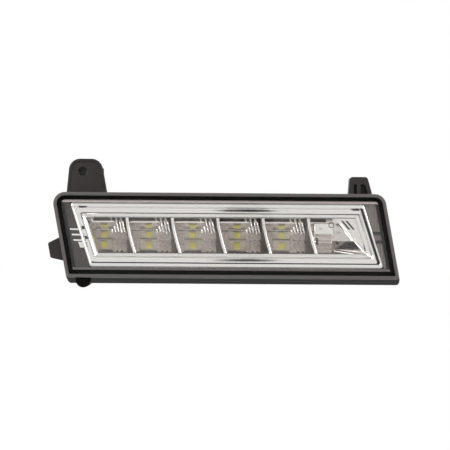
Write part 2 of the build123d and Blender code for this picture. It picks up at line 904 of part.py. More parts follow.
# Reflector: bright moulding with six drafted cells and curved dividers
mirror_outside = ceiling + mirror_wall
mirror_rear = facet_line(mirror_back_wall)
with BuildPart() as reflector:
    with BuildSketch(front_view(window_depth)):
        add(trim_outline(window_half, mirror_wall))
    extrude(amount=window_depth - mirror_back)
    with BuildSketch(Plane.YZ):
        add(polygon_sketch(
            (window_depth, -mirror_outside),
            (window_depth, mirror_outside),
            (mirror_rear[0][0], mirror_outside),
            *mirror_rear,
            (mirror_rear[-1][0], -mirror_outside),
        ))
    extrude(amount=rim_width, both=True, mode=Mode.INTERSECT)
    with BuildSketch(front_view(reflector_ear_front)):
        for place in reflector_screw_places[:2]:
            ear_run = -place[1] + ear_radius - ceiling
            with Locations((place[0], -ceiling - ear_run / 2)):
                Rectangle(2 * ear_radius, ear_run)
        for place in reflector_screw_places[2:]:
            side = 1 if place[0] > 0 else -1
            ear_run = reflector_ear_reach + ear_radius - window_half[0]
            with Locations((place[0] + side * (ear_radius - ear_run / 2), place[1])):
                Rectangle(ear_run, 2 * ear_radius)
    extrude(amount=-ear_wall)
    add(cells.part, mode=Mode.SUBTRACT)
    with BuildSketch(front_view(reflector_ear_front)):
        with Locations(*reflector_screw_places):
            RegularPolygon(screw_radius + screw_clearance, post_sides)
    extrude(amount=-ear_wall, mode=Mode.SUBTRACT)
    with BuildSketch(Plane.XY.offset(ceiling)):
        for place in led_places:
            window_front = led_depth - led_size / 2 - led_front_room
            with Locations((place, (window_front + mirror_back) / 2)):
                Rectangle(led_window, mirror_back - window_front)
    extrude(amount=mirror_wall, mode=Mode.SUBTRACT)

# Light sources: a pale package under the board with a phosphor field below it
leds = []
phosphors = []
for place in led_places:
    with BuildPart() as led_body:
        with BuildSketch(Plane.XY.offset(board_under)):
            with Locations((place, led_depth)):
                Rectangle(led_size, led_size)
        extrude(amount=-led_height)
    with BuildPart() as led_phosphor:
        with BuildSketch(Plane.XY.offset(board_under - led_height)):
            with Locations((place, led_depth)):
                Rectangle(phosphor_size, phosphor_size)
        extrude(amount=-phosphor_height)
    leds.append(led_body.part)
    phosphors.append(led_phosphor.part)

# Board that carries the light sources, on the mirror's upper wall
with BuildPart() as led_board:
    with BuildSketch(Plane.XY.offset(board_under)):
        with Locations((board_middle, (board_front + board_rear) / 2)):
            Rectangle(board_length, board_rear - board_front)
        with Locations(*[(place, board_screw_depth) for place in board_screw_places]):
            RegularPolygon(screw_radius + screw_clearance, post_sides, mode=Mode.SUBTRACT)
    extrude(amount=board_wall)

# Thermal pad between the board and the shelf of the heat sink
with BuildPart() as thermal_pad:
    with BuildSketch(Plane.XY.offset(board_top)):
        with Locations((board_middle, (board_front + board_rear) / 2)):
            Rectangle(board_length, board_rear - board_front)
        with Locations(*[(place, board_screw_depth) for place in board_screw_places]):
            RegularPolygon(screw_radius + screw_clearance, post_sides, mode=Mode.SUBTRACT)
    extrude(amount=pad_wall)

# Heat sink: shelf over the board, plate over the opening and fins behind the plate
with BuildPart() as heat_sink:
    with BuildSketch(Plane.XY.offset(shelf_under)):
        with Locations((board_middle, (board_front + plate_front) / 2)):
            Rectangle(board_length, plate_front - board_front)
        with Locations(*[(place, board_screw_depth) for place in board_screw_places]):
            RegularPolygon(screw_radius + thread_clearance, post_sides, mode=Mode.SUBTRACT)
    extrude(amount=shelf_wall)
    with BuildSketch(front_view(plate_front)):
        with Locations((board_middle, opening_middle)):
            Rectangle(plate_width, plate_height)
        with Locations(*sink_screw_places):
            RegularPolygon(sink_screw_radius + screw_clearance, post_sides, mode=Mode.SUBTRACT)
    extrude(amount=-plate_wall)
    fin_pitch = (opening_width - fin_wall) / (fin_count - 1)
    with BuildSketch(front_view(plate_back)):
        with Locations((board_middle, opening_middle)):
            with GridLocations(fin_pitch, 1, fin_count, 1):
                Rectangle(fin_wall, plate_height - 2 * plate_height_margin)
    extrude(amount=-fin_height)

# Gasket between the plate and the rear wall
with BuildPart() as sink_gasket:
    with BuildSketch(front_view(tub_depth)):
        with Locations((board_middle, opening_middle)):
            Rectangle(opening_width + 2 * gasket_width, opening_height + 2 * gasket_width)
            Rectangle(opening_width, opening_height, mode=Mode.SUBTRACT)
    extrude(amount=-gasket_wall)

# Driver board on its standoffs, with slots for the connector pins
with BuildPart() as driver_board:
    with BuildSketch(front_view(driver_front)):
        with Locations((driver_x, driver_z)):
            Rectangle(driver_width, driver_height)
        with Locations(*driver_screw_places):
            RegularPolygon(screw_radius + screw_clearance, post_sides, mode=Mode.SUBTRACT)
        with Locations(*[(place, socket_z) for place in pin_places]):
            Rectangle(pin_width + 2 * pin_clearance, pin_wall + 2 * pin_clearance, mode=Mode.SUBTRACT)
    extrude(amount=-board_wall)

with BuildPart() as driver_chip:
    with BuildSketch(front_view(driver_back)):
        with Locations((driver_left + chip_place[0], driver_z + chip_place[1])):
            Rectangle(chip_size[0], chip_size[1])
    extrude(amount=-chip_size[2])

with BuildPart() as driver_inductor:
    with BuildSketch(front_view(driver_back)):
        with Locations((driver_left + inductor_place[0], driver_z + inductor_place[1])):
            RegularPolygon(inductor_radius, post_sides)
    extrude(amount=-inductor_height)

with BuildPart() as driver_capacitor:
    with BuildSketch(front_view(driver_back)):
        for index in range(capacitor_count):
            with Locations((driver_left + capacitor_place[0] + index * capacitor_pitch,
                            driver_z + capacitor_place[1])):
                RegularPolygon(capacitor_radius, can_sides)
    extrude(amount=-capacitor_height)

# Two stamped strips from the light board's end to the driver board's face
strip_end = driver_left + strip_overlap
with BuildPart() as link_strips:
    for index in range(strip_count):
        strip_right = board_right - strip_inset - index * strip_pitch
        strip_low = board_under - strip_drop - index * strip_pitch
        with BuildSketch(front_view(driver_front - strip_wall)):
            add(polygon_sketch(
                (strip_right, board_under),
                (strip_right, strip_low + strip_width),
                (strip_end, strip_low + strip_width),
                (strip_end, strip_low),
                (strip_right - strip_width, strip_low),
                (strip_right - strip_width, board_under),
            ))
        extrude(amount=-strip_wall)

# Connector socket: plug through the rear wall, flange and open shroud behind it
socket_back = tub_depth + socket_seal_wall
shroud_front = socket_back + socket_flange_wall
with BuildPart() as connector_socket:
    with BuildSketch(front_view(rear_inside)):
        with Locations((socket_x, socket_z)):
            Rectangle(socket_width - 2 * socket_clearance, socket_height - 2 * socket_clearance)
    extrude(amount=rear_inside - socket_back)
    with BuildSketch(front_view(socket_back)):
        with Locations((socket_x, socket_z)):
            Rectangle(socket_width + 2 * socket_flange, socket_height + 2 * socket_flange)
    extrude(amount=-socket_flange_wall)
    with BuildSketch(front_view(shroud_front)):
        with Locations((socket_x, socket_z)):
            RectangleRounded(socket_width, socket_height, socket_radius)
    extrude(amount=-socket_depth)
    with BuildSketch(front_view(shroud_front)):
        with Locations((socket_x, socket_z)):
            Rectangle(socket_width - 2 * socket_wall, socket_height - 2 * socket_wall)
    extrude(amount=-socket_depth, mode=Mode.SUBTRACT)
    with BuildSketch(front_view(rear_inside)):
        with Locations(*[(place, socket_z) for place in pin_places]):
            Rectangle(pin_width, pin_wall)
    extrude(amount=rear_inside - shroud_front, mode=Mode.SUBTRACT)

with BuildPart() as connector_seal:
    with BuildSketch(front_view(tub_depth)):
        with Locations((socket_x, socket_z)):
            Rectangle(socket_width + 2 * socket_flange, socket_height + 2 * socket_flange)
            Rectangle(socket_width, socket_height, mode=Mode.SUBTRACT)
    extrude(amount=-socket_seal_wall)

with BuildPart() as connector_pins:
    with BuildSketch(front_view(driver_front)):
        with Locations(*[(place, socket_z) for place in pin_places]):
            Rectangle(pin_width, pin_wall)
    extrude(amount=driver_front - shroud_front - pin_reach)

# Vent: a membrane on the spigot under a notched cap
membrane_front = tub_depth + vent_spigot_height
with BuildPart() as vent_membrane:
    with BuildSketch(front_view(membrane_front)):
        with Locations((vent_x, vent_z)):
            RegularPolygon(vent_spigot_radius, can_sides)
    extrude(amount=-membrane_wall)

with BuildPart() as vent_cap:
    cap_back = membrane_front + membrane_wall + vent_cap_wall
    with BuildSketch(front_view(tub_depth)):
        with Locations((vent_x, vent_z)):
            Circle(vent_cap_radius)
    extrude(amount=tub_depth - cap_back)
    with BuildSketch(front_view(tub_depth)):
        with Locations((vent_x, vent_z)):
            Circle(vent_spigot_radius + vent_cap_gap)
    extrude(amount=tub_depth - cap_back + vent_cap_wall, mode=Mode.SUBTRACT)
    with BuildSketch(front_view(tub_depth)):
        with Locations((vent_x, vent_z)):
            with PolarLocations(vent_cap_radius, vent_notch_count):
                Rectangle(2 * vent_cap_wall, vent_notch_width)
    extrude(amount=-vent_spigot_height / 2, mode=Mode.SUBTRACT)

# Fasteners, one group for each kind
trim_screws = screw_group([(x, ear_front, z) for x, z in trim_screw_places], (0, 1, 0), **small_screw)
reflector_screws = screw_group(
    [(x, reflector_ear_back, z) for x, z in reflector_screw_places], (0, -1, 0), **small_screw)
board_screws = screw_group(
    [(x, board_screw_depth, board_under) for x in board_screw_places], (0, 0, 1),
    **{**small_screw, "length": board_wall + pad_wall + shelf_wall})
sink_screws = screw_group([(x, plate_back, z) for x, z in sink_screw_places], (0, -1, 0), **large_screw)
driver_screws = screw_group(
    [(x, driver_front, z) for x, z in driver_screw_places], (0, 1, 0), **small_screw)

pieces = {
    "housing": housing.part,
    "lens": lens.part,
    "lens_sealant": lens_sealant.part,
    "chrome_trim": chrome_trim.part,
    "end_panel_left": end_panel_left.part,
    "end_panel_right": end_panel_right.part,
    "reflector": reflector.part,
    "led_board": led_board.part,
    "thermal_pad": thermal_pad.part,
    "heat_sink": heat_sink.part,
    "sink_gasket": sink_gasket.part,
    "driver_board": driver_board.part,
    "driver_chip": driver_chip.part,
    "driver_inductor": driver_inductor.part,
    "driver_capacitor": driver_capacitor.part,
    "link_strips": link_strips.part,
    "connector_socket": connector_socket.part,
    "connector_seal": connector_seal.part,
    "connector_pins": connector_pins.part,
    "vent_membrane": vent_membrane.part,
    "vent_cap": vent_cap.part,
    "trim_screws": trim_screws,
    "reflector_screws": reflector_screws,
    "board_screws": board_screws,
    "sink_screws": sink_screws,
    "driver_screws": driver_screws,
}
for number in range(led_count):
    pieces[f"led_body_{number + 1}"] = leds[number]
    pieces[f"led_phosphor_{number + 1}"] = phosphors[number]

os.makedirs("parts", exist_ok=True)
for name, piece in pieces.items():
    piece.label = name
    export_step(piece, f"parts/{name}.step")
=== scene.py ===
import math

import bmesh
import bpy
from mathutils import Matrix, Vector


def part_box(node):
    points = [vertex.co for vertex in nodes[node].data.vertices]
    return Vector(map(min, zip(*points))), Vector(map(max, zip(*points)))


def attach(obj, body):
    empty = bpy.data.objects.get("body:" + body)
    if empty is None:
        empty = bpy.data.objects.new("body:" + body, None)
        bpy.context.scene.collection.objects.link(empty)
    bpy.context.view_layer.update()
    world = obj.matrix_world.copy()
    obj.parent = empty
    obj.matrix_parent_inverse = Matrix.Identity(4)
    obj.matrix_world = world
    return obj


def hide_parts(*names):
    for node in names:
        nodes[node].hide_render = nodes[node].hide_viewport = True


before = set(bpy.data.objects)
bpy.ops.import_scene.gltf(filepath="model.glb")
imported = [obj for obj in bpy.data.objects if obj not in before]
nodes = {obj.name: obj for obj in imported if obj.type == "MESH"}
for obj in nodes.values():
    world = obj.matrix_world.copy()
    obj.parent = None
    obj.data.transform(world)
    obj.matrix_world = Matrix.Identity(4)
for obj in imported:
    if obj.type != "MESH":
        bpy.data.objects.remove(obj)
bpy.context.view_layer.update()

scene = bpy.context.scene
MM = 0.001

# Housing: the black tub, rim, tabs, tongue and boss in one injection moulding.
# Glass-filled polypropylene straight from a fine-grained tool, fixed to the bumper's carrier.
grain_mm = 0.9
flow_mm = 45.0
edge_mm = 1.1
rim_face = 1.3
chin_top = -31.2


def linear(hex_colour, alpha=1.0):
    """sRGB hex colour as linear values."""
    channels = [int(hex_colour[i:i + 2], 16) / 255 for i in (1, 3, 5)]
    return [c / 12.92 if c <= 0.04045 else ((c + 0.055) / 1.055) ** 2.4 for c in channels] + [alpha]


def add_node(tree, kind, inputs=(), **settings):
    """Adds a node with its settings; an input that is a socket is linked, any other is set."""
    made = tree.nodes.new(kind)
    for name, value in settings.items():
        setattr(made, name, value)
    for name, value in dict(inputs).items():
        if isinstance(value, bpy.types.NodeSocket):
            tree.links.new(value, made.inputs[name])
        else:
            made.inputs[name].default_value = value
    return made


def new_finish(name):
    """An empty node material, its tree and the place on the object that its patterns follow."""
    material = bpy.data.materials.new(name)
    material.use_nodes = True
    tree = material.node_tree
    tree.nodes.clear()
    return material, tree, add_node(tree, "ShaderNodeTexCoord").outputs["Object"]


def noise(tree, place, size_mm, detail):
    """Noise with blotches of a real size."""
    return add_node(tree, "ShaderNodeTexNoise", {
        "Vector": place, "Scale": 1 / (size_mm * MM), "Detail": detail}).outputs["Fac"]


def tinted(tree, amount, dark, light, spread=(0.0, 1.0)):
    """A colour between two ends that follows a pattern."""
    ramp = add_node(tree, "ShaderNodeValToRGB", {"Fac": amount})
    for stop, spot, shade in zip(ramp.color_ramp.elements, spread, (dark, light)):
        stop.position = spot
        stop.color = linear(shade)
    return ramp.outputs["Color"]


def ranged(tree, amount, low, high):
    """A pattern's value spread between two ends."""
    return add_node(tree, "ShaderNodeMapRange", {
        "Value": amount, "To Min": low, "To Max": high}).outputs["Result"]


def combined(tree, first, second, operation):
    """Two values joined by arithmetic or a comparison."""
    return add_node(tree, "ShaderNodeMath", {0: first, 1: second}, operation=operation).outputs["Value"]


def blended(tree, amount, first, second):
    """A colour between two others."""
    return add_node(tree, "ShaderNodeMix", {"Factor": amount, 6: first, 7: second}, data_type="RGBA").outputs[2]


def relief(tree, height, strength, depth_mm, **base):
    """Normals of a fine relief."""
    return add_node(tree, "ShaderNodeBump", {
        "Height": height, "Strength": strength, "Distance": depth_mm * MM, **base}).outputs["Normal"]


def show(tree, shader):
    """Sends a shader to the surface."""
    add_node(tree, "ShaderNodeOutputMaterial", {"Surface": shader})


def show_solid(tree, inputs):
    """Shows an opaque surface with the given inputs."""
    show(tree, add_node(tree, "ShaderNodeBsdfPrincipled", inputs).outputs["BSDF"])


def dress(material, *names):
    """Gives CAD nodes a finish."""
    for name in names:
        nodes[name].data.materials.clear()
        nodes[name].data.materials.append(material)


# Moulded polypropylene: a fine spark-eroded grain that breaks up a broad soft sheen, with edges
# rounded by the tool. The real grain is 0.15 mm; it is drawn at 0.9 mm so that it shows.
# The rim's face is painted paler as a painted sheen, and the sloped underside painted darker as painted shade and
# duller, as in the photograph.
moulded_black, tree, place = new_finish("moulded_black_polypropylene")
grain = noise(tree, place, grain_mm, 4.0)
skin = tinted(tree, noise(tree, place, flow_mm, 2.0), "#1a1615", "#231e1d", (0.3, 0.7))
axes = add_node(tree, "ShaderNodeSeparateXYZ", {"Vector": place})
# Painted sheen: the rim's face gets a paler colour. Painted shade: the sloped underside gets a darker one.
rim_painted_sheen = combined(tree, axes.outputs["Y"], rim_face * MM, "LESS_THAN")
underside_painted_shade = combined(tree, axes.outputs["Z"], chin_top * MM, "LESS_THAN")
skin = blended(tree, rim_painted_sheen, skin, linear("#494544"))
skin = blended(tree, underside_painted_shade, skin, linear("#0d0b0a"))
edges = add_node(tree, "ShaderNodeBevel", {"Radius": edge_mm * MM}, samples=6)
show_solid(tree, {
    "Base Color": skin, "Roughness": ranged(tree, grain, 0.3, 0.44), "IOR": 1.49,
    "Specular IOR Level": ranged(tree, underside_painted_shade, 0.3, 0.02),
    "Normal": relief(tree, grain, 0.12, 0.05, Normal=edges.outputs["Normal"])})
dress(moulded_black, "housing")

# Lens sealant: a bead of black butyl laid in the channel, into which the lens leg is pressed.
# It stays slightly tacky and uneven, with lumps of about 3 mm.
sealant, tree, place = new_finish("black_butyl_bead")
lumps = noise(tree, place, 3.0, 3.0)
show_solid(tree, {
    "Base Color": tinted(tree, lumps, "#0b0a09", "#161312"), "Roughness": 0.7, "IOR": 1.5,
    "Specular IOR Level": 0.25, "Normal": relief(tree, lumps, 0.5, 0.3)})
dress(sealant, "lens_sealant")

# Heat sink: shelf, plate and fins in one aluminium die casting, screwed over the rear opening.
# Left as cast, so it is dull grey with a cloudy skin (9 mm) and fine pits (0.8 mm).
cast_aluminium, tree, place = new_finish("as_cast_aluminium")
cloud = noise(tree, place, 9.0, 5.0)
pits = noise(tree, place, 0.8, 3.0)
show_solid(tree, {
    "Base Color": tinted(tree, cloud, "#a3a4a5", "#b9babb", (0.3, 0.7)), "Metallic": 1.0,
    "Roughness": ranged(tree, cloud, 0.42, 0.6), "Normal": relief(tree, pits, 0.25, 0.08)})
dress(cast_aluminium, "heat_sink")

# Gaskets, thermal pad and connector seal: die-cut and moulded elastomers.
# Black EPDM round the heat sink, grey filled silicone under it, red silicone at the socket.
for name, dark, light, grit_mm, member in (
    ("die_cut_black_epdm", "#1d1c1c", "#2a2929", 1.5, "sink_gasket"),
    ("filled_grey_silicone_pad", "#74787d", "#858a8f", 1.0, "thermal_pad"),
    ("moulded_red_silicone", "#7a2f22", "#8c3a2b", 1.5, "connector_seal"),
):
    elastomer, tree, place = new_finish(name)
    grit = noise(tree, place, grit_mm, 3.0)
    show_solid(tree, {
        "Base Color": tinted(tree, grit, dark, light), "Roughness": 0.75, "Normal": relief(tree, grit, 0.2, 0.1)})
    dress(elastomer, member)

# Boards: a white metal-core board over the mirror and a green driver board behind it.
# Both have a printed mask over copper runs, which stand out as slightly raised, lighter lanes.
lane_share = 0.42
for name, dark, light, lane_mm, member in (
    ("white_masked_metal_core", "#efeae0", "#f7f4ec", 4.0, "led_board"),
    ("green_masked_fibre_board", "#12452a", "#1b5a37", 2.5, "driver_board"),
):
    masked, tree, place = new_finish(name)
    lanes = add_node(tree, "ShaderNodeTexVoronoi", {"Vector": place, "Scale": 1 / (lane_mm * MM)},
                     distance="CHEBYCHEV", feature="F1").outputs["Distance"]
    mask = tinted(tree, lanes, light, dark, (0.0, lane_share))
    mask.node.color_ramp.interpolation = "CONSTANT"
    show_solid(tree, {"Base Color": mask, "Roughness": 0.35, "Normal": relief(tree, lanes, 0.15, 0.05)})
    dress(masked, member)

# Driver parts and other small ones: a moulded chip, a ferrite coil, an aluminium can, brass link
# strips, tinned pins and the vent's film. They sit inside and are hardly seen from outside.
for name, dark, light, metal, rough, grit_mm, member in (
    ("moulded_epoxy_chip", "#1b1b1c", "#262627", 0.0, 0.6, 0.6, "driver_chip"),
    ("sintered_ferrite", "#37383a", "#47484a", 0.0, 0.7, 0.8, "driver_inductor"),
    ("drawn_aluminium_can", "#b9bbbd", "#cfd1d2", 1.0, 0.3, 2.0, "driver_capacitor"),
    ("stamped_brass_strip", "#b59b62", "#c8ae73", 1.0, 0.32, 2.0, "link_strips"),
    ("tinned_copper_pin", "#b4b4b1", "#c9c9c6", 1.0, 0.28, 1.5, "connector_pins"),
    ("porous_white_film", "#c4c4c1", "#d9d9d6", 0.0, 0.8, 0.6, "vent_membrane"),
):
    small_part, tree, place = new_finish(name)
    grit = noise(tree, place, grit_mm, 3.0)
    show_solid(tree, {
        "Base Color": tinted(tree, grit, dark, light), "Metallic": metal, "Roughness": rough,
        "Normal": relief(tree, grit, 0.1, 0.05)})
    dress(small_part, member)

# Light sources: a white moulded package under the board with a rounded field of phosphor gel.
# They look down into the mirror, which is where they are seen from the front.
light_count = 5
gel_size = (4.6, 5.2, 0.4)
gel_round = 0.18


def rounded_block(mesh, centre, size, bevel, lean=0.0, tip=0.0):
    """Adds a block with rounded edges, in millimetres, sheared along X and Y with height."""
    shear = Matrix.Identity(4)
    shear[0][2] = -lean
    shear[1][2] = tip
    spot = Matrix.Translation(Vector(centre) * MM) @ shear @ Matrix.Diagonal((*size, 1.0))
    made = bmesh.ops.create_cube(mesh, size=MM, matrix=spot)["verts"]
    rims = list({edge for corner in made for edge in corner.link_edges})
    bmesh.ops.bevel(mesh, geom=rims, offset=bevel * MM, segments=3, profile=0.5, affect="EDGES")


def make_piece(name, mesh, slot, *finishes, sharp=50):
    """Turns a mesh into a piece of the lamp, smooth but for turns over an angle in degrees."""
    bmesh.ops.recalc_face_normals(mesh, faces=mesh.faces)
    data = bpy.data.meshes.new(name)
    mesh.to_mesh(data)
    mesh.free()
    for finish in finishes:
        data.materials.append(finish)
    for face in data.polygons:
        face.use_smooth = True
    piece = bpy.data.objects.new(name, data)
    scene.collection.objects.link(piece)
    piece.modifiers.new("sharp_turns", "EDGE_SPLIT").split_angle = math.radians(sharp)
    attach(piece, "root")
    return piece


# Package: white heat-resistant plastic with a moulded grit of about 0.8 mm.
package, tree, place = new_finish("white_moulded_package")
grit = noise(tree, place, 0.8, 3.0)
show_solid(tree, {"Base Color": tinted(tree, grit, "#f0ede4", "#f8f5ee"), "Roughness": 0.4})

# Phosphor gel: pale yellow powder in clear silicone, with specks of about 0.5 mm.
phosphor, tree, place = new_finish("yellow_phosphor_gel")
powder = noise(tree, place, 0.5, 4.0)
show_solid(tree, {"Base Color": tinted(tree, powder, "#f0e87c", "#f8f3a0"), "Roughness": 0.35})
for number in range(1, light_count + 1):
    dress(package, f"led_body_{number}")
    dress(phosphor, f"led_phosphor_{number}")
    low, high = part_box(f"led_phosphor_{number}")
    middle = [(low[axis] + high[axis]) / 2 / MM for axis in (0, 1)]
    gel_mesh = bmesh.new()
    rounded_block(gel_mesh, (*middle, high[2] / MM - gel_size[2] / 2), gel_size, gel_round)
    gel = make_piece(f"phosphor_gel_{number}", gel_mesh, "phosphor", phosphor)
    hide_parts(f"led_phosphor_{number}")

# Mirror: six faceted cells in one moulding, coated with aluminium in a vacuum.
# The film copies the tool, so the facets carry faint waves and the edges a softer gleam.
window_front = 17.0
cell_front = 17.3
cell_top = 13.0
first_fin = -69.6
fin_pitch = 33.4
fin_lean = math.tan(math.radians(13))
fin_bow = 0.8
light_depth = 22.18
focus = 12.0
facet_heights = [cell_top - drop for drop in (0.0, 3.8, 9.9, 16.6, 26.0)]
wave_mm = 6.0


def fin_x(number, height):
    """Middle of a fin at a height, bowed between its leaning ends."""
    return first_fin + number * fin_pitch - height * fin_lean - fin_bow * (1 - (height / cell_top) ** 2)


def facet_depth(height):
    """Depth of the flat facets at a height, chords of a parabola about the light source."""
    for upper, lower in zip(facet_heights, facet_heights[1:]):
        if height >= lower - 1e-6:
            ends = [light_depth + focus - (cell_top - at) ** 2 / (4 * focus) for at in (upper, lower)]
            return ends[0] + (ends[1] - ends[0]) * (upper - height) / (upper - lower)


def sheet(mesh, points):
    """Adds one thin face through points in millimetres."""
    mesh.faces.new([mesh.verts.new(Vector(point) * MM) for point in points])


def strip(mesh, lines):
    """Adds faces between successive lines of points in millimetres."""
    rows = [[mesh.verts.new(Vector(point) * MM) for point in line] for line in lines]
    for first, second in zip(rows, rows[1:]):
        for column in range(len(first) - 1):
            mesh.faces.new((first[column], second[column], second[column + 1], first[column + 1]))


def sweep(mesh, path, radius, sides):
    """Adds a rod of round section with pointed ends along a path in millimetres."""
    points = [Vector(point) for point in path]
    turns = [step * math.tau / sides for step in range(sides)]
    rows = []
    for index, point in enumerate(points):
        ahead = points[min(index + 1, len(points) - 1)] - points[max(index - 1, 0)]
        aim = ahead.to_track_quat("Z", "Y")
        arms = [aim @ Vector((radius * math.cos(turn), radius * math.sin(turn), 0)) for turn in turns]
        rows.append([mesh.verts.new((point + arm) * MM) for arm in arms])
    tips = [mesh.verts.new((end + (end - inner).normalized() * radius) * MM)
            for end, inner in ((points[0], points[1]), (points[-1], points[-2]))]
    for index in range(sides):
        after = (index + 1) % sides
        for first, second in zip(rows, rows[1:]):
            mesh.faces.new((first[index], first[after], second[after], second[index]))
        mesh.faces.new((rows[0][after], rows[0][index], tips[0]))
        mesh.faces.new((rows[-1][index], rows[-1][after], tips[1]))


mirror_film, tree, place = new_finish("vacuum_aluminised_mirror")
stretch = add_node(tree, "ShaderNodeMapping", {"Vector": place, "Scale": (3.0, 1.0, 0.5)})
waves = noise(tree, stretch.outputs["Vector"], wave_mm, 2.0)
show_solid(tree, {
    "Base Color": linear("#e8e4e3"), "Metallic": 1.0, "Roughness": ranged(tree, waves, 0.04, 0.1),
    "Normal": relief(tree, waves, 0.12, 0.08)})
dress(mirror_film, "reflector")

# Rounded edges carry the same film without waves.
edge_film, tree, place = new_finish("vacuum_aluminised_edge")
haze = ranged(tree, noise(tree, place, 20.0, 1.0), 0.1, 0.16)
show_solid(tree, {"Base Color": linear("#ebe7e5"), "Metallic": 1.0, "Roughness": haze})

# Satin coat on the cells' ceilings, which look down on the facets and light them.
satin_coat, tree, place = new_finish("satin_pale_undercoat")
streaks = noise(tree, place, 1.6, 4.0)
show_solid(tree, {"Base Color": tinted(tree, streaks, "#c2b8b4", "#f0e8e5", (0.35, 0.65)), "Roughness": 0.45})

# Painted shade: a dark grey laid over the mirror where it shows shade, along the fins and the strut, and as a ring
# and stripes in the last cell.
painted_shade_grey, tree, place = new_finish("painted_shade_dark_grey")
streaks = noise(tree, place, 2.5, 3.0)
show_solid(tree, {"Base Color": tinted(tree, streaks, "#3a3432", "#615855", (0.3, 0.7)), "Roughness": 0.4})

# Rounded front edges of the fins: the crown's places across a fin and its rise above the fin's front.
edge_mesh = bmesh.new()
fin_crown = [(-1.2, -0.3), (-1.15, 0.0), (-0.9, 0.22), (-0.45, 0.36), (0.0, 0.4), (0.45, 0.36), (0.9, 0.22),
             (1.15, 0.0), (1.2, -0.3)]
fin_rows = (13.0, 8.6, 4.3, 0.0, -4.3, -8.6, -13.0)
for number in range(light_count):
    strip(edge_mesh, [[(fin_x(number, at) + aside, window_front - rise, at) for aside, rise in fin_crown]
                      for at in fin_rows])

# Rounded flutes that stand on the facets to the left of each fin, shorter away from it.
flute_width = 1.35
flute_depth = 3.2
flute_front = 31.0
flute_start = 4.4
flute_pitch = 2.3
flute_foot = 1.6
flute_tops = (10.4, 11.0, 9.6, 6.8, 4.6)
flute_round = 0.45
flute_tip = 0.07
for number in range(light_count):
    for flute, top in enumerate(flute_tops):
        middle = (top + flute_foot) / 2
        across = first_fin + number * fin_pitch - flute_start - flute * flute_pitch - middle * fin_lean
        rounded_block(edge_mesh, (across, flute_front + flute_depth / 2, middle),
                      (flute_width, flute_depth, top - flute_foot), flute_round, fin_lean, flute_tip)

# Painted shade on the flank of each fin, which spreads over the upper facets, and a strip of painted shade above
# them.
painted_shade_mesh = bmesh.new()
film_gap = 0.05
patch_gap = 0.06
flank_rows = (12.6, 11.0, 9.2, 6.5, 3.1, 0.0, -3.6, -8.0, -12.6)
flank_front = 1.05
flank_back = 2.2
flank_width = 2.3
shade_foot = 3.1
shade_rise = 9.5
shade_width = 11.5
strip_middle = 11.5
strip_span = (12.7, 10.3)
strip_margins = (1.4, 1.2)
first_strip = 26.0
shaded = [(63.4, 75.0, 12.7, 10.2), (67.2, 69.0, -1.4, -6.2), (82.4, 84.0, -4.2, -6.4)]
for number in range(light_count):
    flank = []
    for at in flank_rows:
        side = fin_x(number, at)
        back = facet_depth(at) - film_gap
        spread = flank_width + max(0.0, (at - shade_foot) / shade_rise) * shade_width
        flank.append([(side - flank_front, cell_front, at), (side - flank_back, back, at),
                      (side - spread, back, at)])
    strip(painted_shade_mesh, flank)
    side = fin_x(number, strip_middle)
    left = side - fin_pitch + strip_margins[0] if number else side - first_strip
    shaded.append((left, side - strip_margins[1], *strip_span))

# Last cell: strut with a rounded edge and a rod of painted shade along it, a raised pad with a painted dark ring,
# and painted dark stripes.
strut_top = (80.3, 13.0)
strut_end = (104.3, -13.0)
strut_front = 18.9
strut_aside = 0.8
strut_shade_aside = -0.5
strut_shade_depth = 19.8
strut_shade_radius = 0.55
pad_box = ((65.6, 80.2), (26.0, 33.4), (1.2, 9.8))
pad_round = 0.7
ring_middle = (78.6, 8.2)
ring_radius = 1.9
ring_rod = 0.28
ring_rise = 0.1
ring_steps = 16
stripe_starts = (85.4, 88.6)
stripe_depth = 22.9
stripe_width = 1.7
stripe_slant = 5.5
stripe_span = (11.4, 5.0)


def strut_point(share, aside, depth):
    """A point beside the strut's line at a share of its length."""
    run = strut_end[0] - strut_top[0]
    return strut_top[0] + run * share + aside, depth, strut_top[1] + (strut_end[1] - strut_top[1]) * share


strip(edge_mesh, [[strut_point(share, strut_aside * (1 - share) + aside, strut_front - rise)
                   for aside, rise in fin_crown] for share in (0.1, 0.96)])
# Painted shade: a dark grey rod along the strut's lower side.
sweep(painted_shade_mesh, [strut_point(share, strut_shade_aside, strut_shade_depth) for share in (0.14, 0.4, 0.7, 0.93)],
      strut_shade_radius, 10)
rounded_block(edge_mesh, [sum(span) / 2 for span in pad_box], [span[1] - span[0] for span in pad_box], pad_round)
turns = [step * math.tau / ring_steps for step in range(ring_steps)]
# A painted dark ring on the pad's face, and painted dark stripes on the platform below.
sweep(painted_shade_mesh, [(ring_middle[0] + ring_radius * math.cos(turn), pad_box[1][0] - ring_rise,
                   ring_middle[1] + ring_radius * math.sin(turn)) for turn in turns], ring_rod, 8)
for start in stripe_starts:
    foot = start + stripe_slant
    upper, lower = stripe_span
    sheet(painted_shade_mesh, [(start, stripe_depth, upper), (start + stripe_width, stripe_depth, upper),
                      (foot + stripe_width, stripe_depth, lower), (foot, stripe_depth, lower)])
# Painted shade: dark grey patches laid just over the facets, in the strip above the fins and in a few dark spots.
for left, right, upper, lower in shaded:
    corners = ((left, upper), (right, upper), (right, lower), (left, lower))
    sheet(painted_shade_mesh, [(x, facet_depth(z) - patch_gap, z) for x, z in corners])

